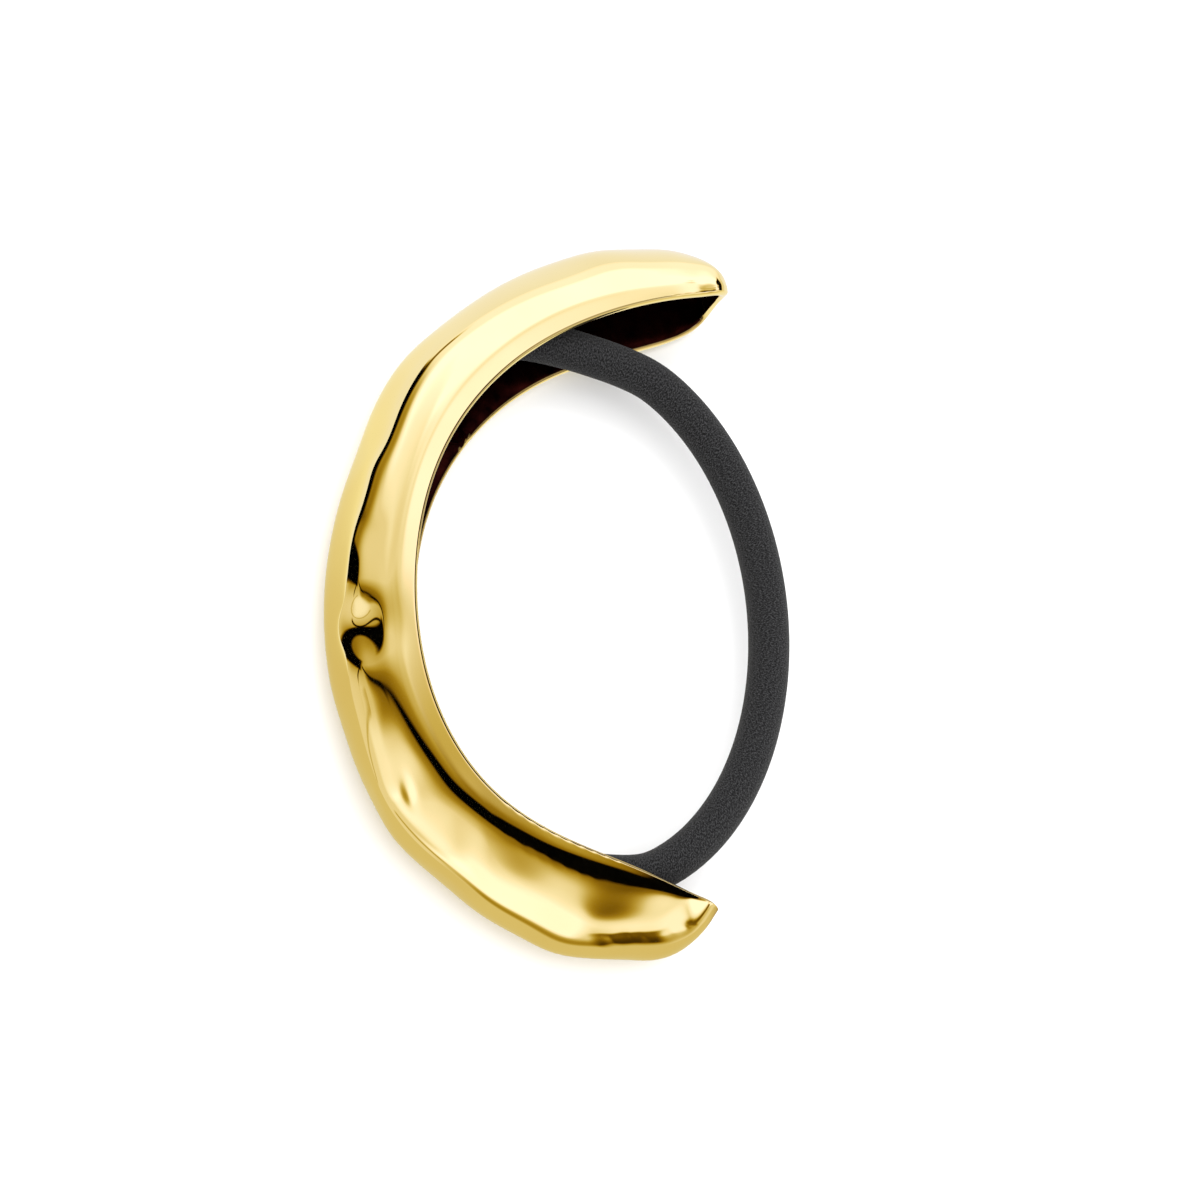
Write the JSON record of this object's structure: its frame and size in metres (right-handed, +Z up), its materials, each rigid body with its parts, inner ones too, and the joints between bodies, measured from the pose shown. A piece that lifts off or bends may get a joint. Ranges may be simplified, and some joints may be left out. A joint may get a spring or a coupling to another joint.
{
  "type": "ponytail cuff",
  "caption": "Hollow polished half ring with softly dented skin and rounded ends, closed into a ring by a round elastic that runs inside it, to clasp a ponytail.",
  "frame": {"origin": "middle of the footprint, on the surface that the cuff lies on", "axes": "+X out of the cuff's open side, +Y along its length towards the end whose channel shows, +Z up through the ring"},
  "size_m": [0.0368, 0.0576, 0.007],
  "materials": {
    "gold": "polished",
    "elastic": "matte"
  },
  "bodies": {
    "root": {"cuff_shell": "gold", "hair_elastic": "elastic"}
  },
  "joints": []
}
